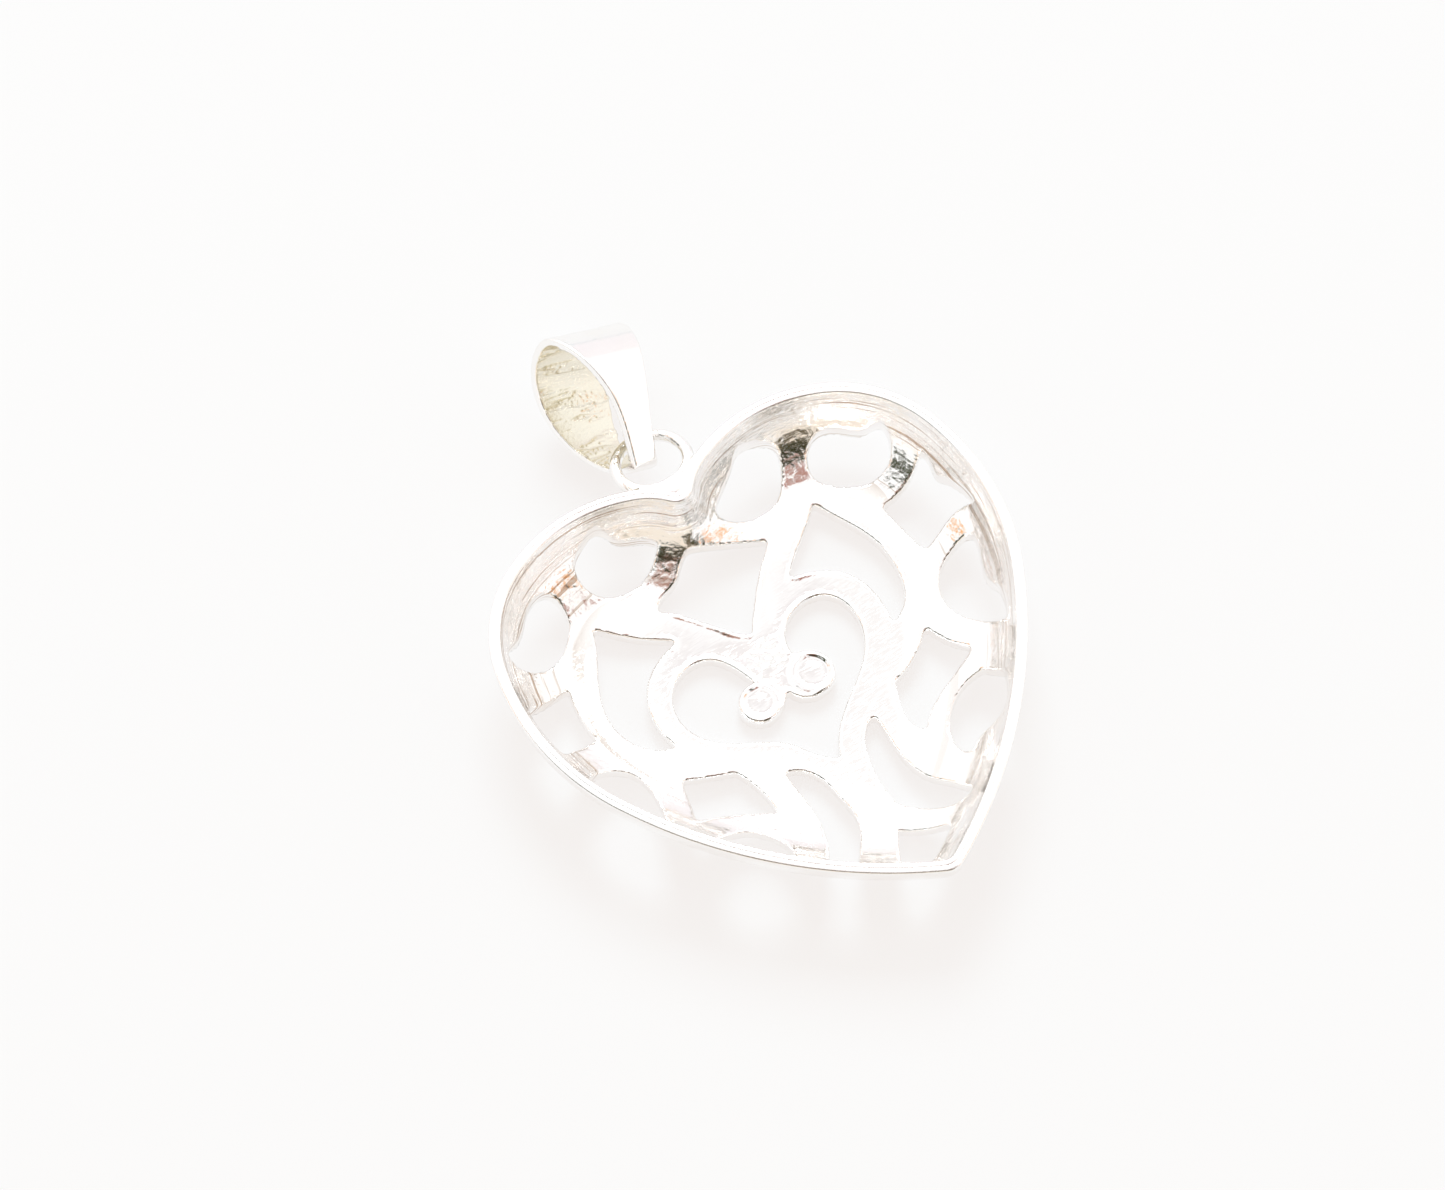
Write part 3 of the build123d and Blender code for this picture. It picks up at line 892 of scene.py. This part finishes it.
    def relief_tree(self) -> GeometryBench:
        """The tree that softens the casting and gives it borders, file marks, grain and a worn patch.

        Returns:
            The finished bench.
        """
        bench = GeometryBench("heart relief", self.relief)
        given = bench.given
        skin = self.borders(bench, bench.soften(given["Geometry"], self.soft_rounds))
        hollow = self.hollow(bench)
        unpolished = bench.maths("MULTIPLY", bench.ramp(bench.level, *self.cast_levels), hollow)
        skin = bench.store(skin, "cast", unpolished)
        risen = bench.ramp(bench.level, given["Grain From"], given["Grain Full"])
        grainy = bench.maths("MULTIPLY", risen, hollow)
        wave = bench.swell(bench.place, given["Wave Size"], given["Wave Depth"], seed=3.0)
        grain = bench.swell(bench.place, given["Grain Size"], given["Grain Depth"], seed=4.0)
        drawn = bench.stretched(self.streak_stretch)
        streaks = bench.swell(drawn, given["Streak Size"], given["Streak Depth"], seed=5.0)
        wear_and_sunk_shade = bench.within(self.at(*self.worn_middle, self.worn_level), self.worn_reach)
        dents = bench.swell(bench.place, given["Patch Size"], given["Patch Depth"], seed=6.0)
        rough = bench.maths("MULTIPLY", bench.maths("ADD", grain, streaks), grainy)
        uneven = bench.maths("ADD", bench.maths("ADD", wave, rough), bench.maths("MULTIPLY", dents, wear_and_sunk_shade))
        skin = bench.push(skin, bench.normal, uneven)
        above = bench.maths("MAXIMUM", bench.maths("SUBTRACT", bench.level, given["Rim Level"]), 0.0)
        skin = bench.push(skin, (0.0, 0.0, -1.0), above)
        below = bench.maths("MAXIMUM", bench.maths("SUBTRACT", self.lowest, bench.level), 0.0)
        bench.finish(bench.push(skin, (0.0, 0.0, 1.0), below))
        return bench

    def bead_tree(self) -> GeometryBench:
        """The tree that sweeps a flat oval bead along every loop of edges.

        Returns:
            The finished bench.
        """
        bench = GeometryBench("rim beads", {"Radius": self.bead_radius, "Flatness": self.bead_flatness})
        path = bench.add("GeometryNodeMeshToCurve", {0: bench.given["Geometry"]}).outputs[0]
        path = bench.add("GeometryNodeSetCurveNormal", {"Curve": path}, mode="Z_UP").outputs[0]
        size = {"Resolution": self.bead_sides, "Radius": bench.given["Radius"]}
        ring = bench.add("GeometryNodeCurvePrimitiveCircle", size)
        scale = bench.add("ShaderNodeCombineXYZ", {"X": 1.0, "Y": bench.given["Flatness"], "Z": 1.0})
        values = {"Geometry": ring.outputs[0], "Scale": scale.outputs[0]}
        oval = bench.add("GeometryNodeTransform", values).outputs[0]
        swept = bench.add("GeometryNodeCurveToMesh", {"Curve": path, "Profile Curve": oval}).outputs[0]
        bench.finish(bench.push(swept, bench.normal, bench.swell(bench.place, *self.bead_wave, seed=7.0)))
        return bench

    def build(self, material: bpy.types.Material) -> bpy.types.Object:
        """Model and dress the casting.

        Args:
            material: its silver.

        Returns:
            The finished piece.
        """
        piece = Workshop.copy_of("heart", "pierced_heart")
        for across, along, radius in self.discs:
            Workshop.join(piece, self.disc(across, along, radius))
        Workshop.reskin(piece, self.voxel)
        self.relief_tree().apply(piece, material)
        Workshop.thin(piece, self.triangles)
        Workshop.to_metres(piece)
        return piece

    def build_rim(self, material: bpy.types.Material) -> bpy.types.Object:
        """The two polished beads that the rim's top shows, with a groove between them.

        Args:
            material: their silver.

        Returns:
            The finished piece.
        """
        outline = Outline(self.half, self.middle_y)
        level = self.top - self.bead_radius * self.bead_flatness
        piece = Workshop.loops("rim_beads", [outline.loop(inset, level) for inset in self.rim_beads])
        self.bead_tree().apply(piece, material)
        Workshop.to_metres(piece)
        return piece


@dataclass
class Bail:
    """The flared band. Lengths are millimetres and angles are degrees."""

    voxel: float = 0.06
    yaw: float = -4.4
    roll: float = 26.4
    pitch: float = 28.9
    loop_middle: tuple[float, float, float] = (0.3, 16.3, 3.8)
    soft_rounds: int = 4
    inside_facing: tuple[float, float] = (0.2, 1.2)
    ridge_stretch: float = 0.16
    ridge_edges: tuple[float, float] = (0.5, 0.6)
    pit_scale: float = 3.5
    relief: dict[str, float] = field(
        default_factory=lambda: {
            "Wave Size": 2.0,
            "Wave Depth": 0.02,
            "Ridge Spacing": 0.8,
            "Ridge Height": 0.20,
            "Grain Size": 0.16,
            "Grain Depth": 0.02,
        }
    )

    def turned(self, way: tuple[float, float, float]) -> Vector:
        """A direction of the band, as the bail lies.

        Args:
            way: the direction on an upright bail.

        Returns:
            The direction in the row frame.
        """
        turn = Matrix.Rotation(math.radians(self.yaw), 3, "Z")
        turn = turn @ Matrix.Rotation(math.radians(self.roll), 3, "Y")
        return turn @ Matrix.Rotation(math.radians(self.pitch), 3, "X") @ Vector(way)

    def relief_tree(self) -> GeometryBench:
        """The tree that softens the sheet and leaves pitted ridges across its inside.

        Returns:
            The finished bench.
        """
        bench = GeometryBench("bail relief", self.relief)
        given = bench.given
        skin = bench.soften(given["Geometry"], self.soft_rounds)
        inward = bench.vectors("SUBTRACT", Vector(self.loop_middle), bench.place).outputs[0]
        facing = bench.vectors("DOT_PRODUCT", inward, bench.normal).outputs["Value"]
        inside = bench.ramp(facing, *self.inside_facing)
        along = bench.vectors("DOT_PRODUCT", bench.place, self.turned((0, 1, 0))).outputs["Value"]
        across = bench.vectors("DOT_PRODUCT", bench.place, self.turned((1, 0, 0))).outputs["Value"]
        values = {"X": along, "Y": bench.maths("MULTIPLY", across, self.ridge_stretch)}
        line = bench.add("ShaderNodeCombineXYZ", values).outputs[0]
        swing = bench.noise(line, bench.maths("DIVIDE", 1.0, given["Ridge Spacing"]), detail=3.0, seed=8.0)
        pits = bench.noise(bench.place, self.pit_scale, detail=3.0, seed=10.0)
        pitted = bench.maths("MULTIPLY", bench.ramp(swing, *self.ridge_edges), pits)
        ridges = bench.maths("MULTIPLY", pitted, given["Ridge Height"])
        grain = bench.swell(bench.place, given["Grain Size"], given["Grain Depth"], seed=9.0)
        uneven = bench.maths("MULTIPLY", bench.maths("ADD", ridges, grain), inside)
        wave = bench.swell(bench.place, given["Wave Size"], given["Wave Depth"], seed=3.0)
        skin = bench.store(skin, "inside", inside)
        bench.finish(bench.push(skin, bench.normal, bench.maths("ADD", wave, uneven)))
        return bench

    def build(self, material: bpy.types.Material) -> bpy.types.Object:
        """Model and dress the bail.

        Args:
            material: its silver.

        Returns:
            The finished piece.
        """
        piece = Workshop.copy_of("bail", "flared_bail")
        Workshop.reskin(piece, self.voxel)
        self.relief_tree().apply(piece, material)
        Workshop.to_metres(piece)
        return piece


@dataclass(frozen=True)
class Patch:
    """A patch of the surroundings that the silver reflects. Angles are degrees; azimuth 0 is +Y, 90 is +X."""

    azimuth: float
    elevation: float
    radius: float
    softness: float
    colour: tuple[float, float, float]
    ragged: bool = True


@dataclass
class Studio:
    """The floor, the light and the camera. Lengths are metres, but look is in millimetres."""

    floor_size: float = 3.0
    # the floor's glow is painted light: a warm pool round the pendant that fades greyer outward, over a cool
    # base colour, so lit floor reads neutral and its shadows warm
    floor_colour: tuple[float, float, float, float] = (0.12, 0.165, 0.187, 1.0)
    floor_roughness: float = 0.9
    glow: float = 0.815
    glow_near: tuple[float, float, float, float] = (1.0, 0.926, 0.89, 1.0)
    glow_far: tuple[float, float, float, float] = (0.66, 0.63, 0.62, 1.0)
    glow_reach: tuple[float, float] = (0.065, 0.30)
    camera_distance: float = 0.4
    camera_turn: float = 33.57
    camera_rise: float = 64.2
    camera_lens: float = 167.4
    camera_near: float = 0.01
    sensor: float = 36.0
    look: tuple[float, float, float] = (-1.62, 3.62, 5.3)
    key_azimuth: float = 30.0
    key_elevation: float = 42.0
    key_size: float = 0.36
    key_power: float = 4.5
    key_distance: float = 0.8
    tent: float = 1.12
    horizon: tuple[float, float, float, float] = (0.97, 0.90, 0.87, 1.0)
    zenith: tuple[float, float, float, float] = (1.0, 1.0, 1.0, 1.0)
    horizon_heights: tuple[float, float] = (0.0, 0.32)
    ragged_scale: float = 7.0
    ragged_depth: float = 0.16
    patches: tuple[Patch, ...] = (
        # pale, and a tan one low down on the camera's side
        Patch(33.6, 64.2, 5.0, 5.0, (0.88, 0.86, 0.855)),
        Patch(213.6, 6.0, 36.0, 12.0, (0.86, 0.775, 0.67)),
        Patch(50.0, 12.0, 12.0, 8.0, (0.90, 0.86, 0.87)),
        # red-brown, beside the camera
        Patch(153.6, 69.0, 8.0, 2.0, (0.42, 0.20, 0.16)),
        Patch(233.6, 69.0, 9.0, 2.0, (0.50, 0.30, 0.24)),
        # dark, in a band below the camera
        Patch(180.0, 32.0, 10.0, 4.0, (0.12, 0.09, 0.05)),
        Patch(174.0, 47.0, 13.0, 2.0, (0.034, 0.032, 0.010)),
        Patch(194.0, 55.0, 12.0, 2.0, (0.024, 0.024, 0.008)),
        Patch(218.0, 57.0, 10.0, 2.0, (0.05, 0.035, 0.022)),
        Patch(247.0, 54.0, 12.0, 2.0, (0.024, 0.028, 0.008)),
        Patch(277.0, 49.0, 12.0, 2.0, (0.034, 0.042, 0.012)),
        # a bright spot, then three orange ones
        Patch(166.0, 60.0, 2.5, 1.0, (1.00, 1.05, 0.95)),
        Patch(121.0, 41.0, 6.0, 1.5, (0.84, 0.38, 0.08), False),
        Patch(147.0, 36.0, 6.0, 1.5, (0.80, 0.34, 0.06), False),
        Patch(307.0, 37.0, 6.0, 1.5, (0.84, 0.38, 0.08), False),
    )

    @staticmethod
    def direction(azimuth: float, elevation: float) -> Vector:
        """A unit vector; azimuth 0 is +Y and 90 is +X."""
        turn, rise = math.radians(azimuth), math.radians(elevation)
        return Vector((math.sin(turn) * math.cos(rise), math.cos(turn) * math.cos(rise), math.sin(rise)))

    def floor(self) -> None:
        """The plain pale floor, whose glow is painted light: it lifts the shade, makes a warm pool round the
        pendant that gets greyer further out, and over the cool base colour leaves the shadows warm.
        """
        mesh = bpy.data.meshes.new("floor")
        reach = self.floor_size / 2
        corners = [(-reach, -reach, 0), (reach, -reach, 0), (reach, reach, 0), (-reach, reach, 0)]
        mesh.from_pydata(corners, [], [(0, 1, 2, 3)])
        material = bpy.data.materials.new("pale floor")
        material.use_nodes = True
        shader = material.node_tree.nodes["Principled BSDF"]
        shader.inputs["Base Color"].default_value = self.floor_colour
        shader.inputs["Emission Strength"].default_value = self.glow
        bench = TreeBench(material.node_tree)
        away = bench.vectors("LENGTH", bench.add("ShaderNodeTexCoord").outputs["Object"]).outputs["Value"]
        glow = bench.mixed(bench.ramp(away, *self.glow_reach), self.glow_near, self.glow_far)
        bench.feed(shader.inputs["Emission Color"], glow)
        shader.inputs["Roughness"].default_value = self.floor_roughness
        shader.inputs["Specular IOR Level"].default_value = 0.0
        mesh.materials.append(material)
        floor = bpy.data.objects.new("floor", mesh)
        bpy.context.scene.collection.objects.link(floor)

    def surroundings(self) -> None:
        """The light tent with the dark and coloured patches that the silver shows."""
        world = bpy.data.worlds.new("light tent")
        bpy.context.scene.world = world
        world.use_nodes = True
        world.node_tree.nodes.clear()
        bench = TreeBench(world.node_tree)
        way = bench.vectors("NORMALIZE", bench.add("ShaderNodeTexCoord").outputs["Generated"]).outputs[0]
        height = bench.add("ShaderNodeSeparateXYZ", {0: way}).outputs["Z"]
        values = {"Vector": way, "Scale": self.ragged_scale, "Detail": 3.0}
        wobble = bench.add("ShaderNodeTexNoise", values).outputs["Color"]
        span, start = (self.ragged_depth,) * 3, (-self.ragged_depth / 2,) * 3
        wobble = bench.vectors("MULTIPLY_ADD", wobble, span, start).outputs[0]
        ragged = bench.vectors("NORMALIZE", bench.vectors("ADD", way, wobble).outputs[0]).outputs[0]
        colour = bench.mixed(bench.ramp(height, *self.horizon_heights), self.horizon, self.zenith)
        for patch in self.patches:
            edge = ragged if patch.ragged else way
            middle = self.direction(patch.azimuth, patch.elevation)
            dot = bench.vectors("DOT_PRODUCT", edge, middle).outputs["Value"]
            outer = math.cos(math.radians(patch.radius + patch.softness))
            inner = math.cos(math.radians(patch.radius))
            colour = bench.mixed(bench.ramp(dot, outer, inner), colour, (*patch.colour, 1.0))
        background = bench.add("ShaderNodeBackground", {"Color": colour, "Strength": self.tent})
        bench.add("ShaderNodeOutputWorld", {"Surface": background.outputs[0]})

    def key_lamp(self) -> None:
        """A square soft lamp that points at the pendant."""
        light = bpy.data.lights.new("key", "AREA")
        light.size = self.key_size
        light.energy = self.key_power
        lamp = bpy.data.objects.new("key", light)
        way = self.direction(self.key_azimuth, self.key_elevation)
        lamp.location = way * self.key_distance
        lamp.rotation_euler = way.to_track_quat("Z", "Y").to_euler()
        bpy.context.scene.collection.objects.link(lamp)

    def camera(self, middle_y: float) -> None:
        """The camera, at the photograph's angle.

        Args:
            middle_y: the heart's zero line along Y, in millimetres.
        """
        data = bpy.data.cameras.new("camera")
        data.lens = self.camera_lens
        data.sensor_width = self.sensor
        data.clip_start = self.camera_near
        camera = bpy.data.objects.new("camera", data)
        back = self.direction(180.0 + self.camera_turn, self.camera_rise)
        across, along, level = self.look
        target = Vector((across, along + middle_y, level)) * MM
        camera.location = target + back * self.camera_distance
        camera.rotation_euler = back.to_track_quat("Z", "Y").to_euler()
        bpy.context.scene.collection.objects.link(camera)
        bpy.context.scene.camera = camera

    def build(self, middle_y: float) -> None:
        """Set up the whole studio."""
        self.floor()
        self.surroundings()
        self.key_lamp()
        self.camera(middle_y)
        bpy.context.scene.view_settings.view_transform = "Standard"


def main() -> None:
    """Build every piece in order and report it."""
    logging.basicConfig(level=logging.INFO, format="%(name)s: %(message)s")
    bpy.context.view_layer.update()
    groups = {
        "grain": ShaderGroups.cast_grain(),
        "scratches": ShaderGroups.scratches(),
        "tarnish": ShaderGroups.tarnish(),
        "walls": ShaderGroups.wall_lines(),
    }
    heart = Heart()
    dressed = (
        (heart.build(CAST_SILVER.build(groups)), "heart", Slot.HEART),
        (heart.build_rim(RIM_SILVER.build(groups)), "heart", Slot.HEART),
        (Bail().build(SHEET_SILVER.build(groups)), "bail", Slot.BAIL),
    )
    for piece, node, slot in dressed:
        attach(piece, "root")
        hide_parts(node)
        LOG.info("%s: %d faces", piece.name, len(piece.data.polygons))
    Studio().build(heart.middle_y)


if __name__ == "__main__":
    main()
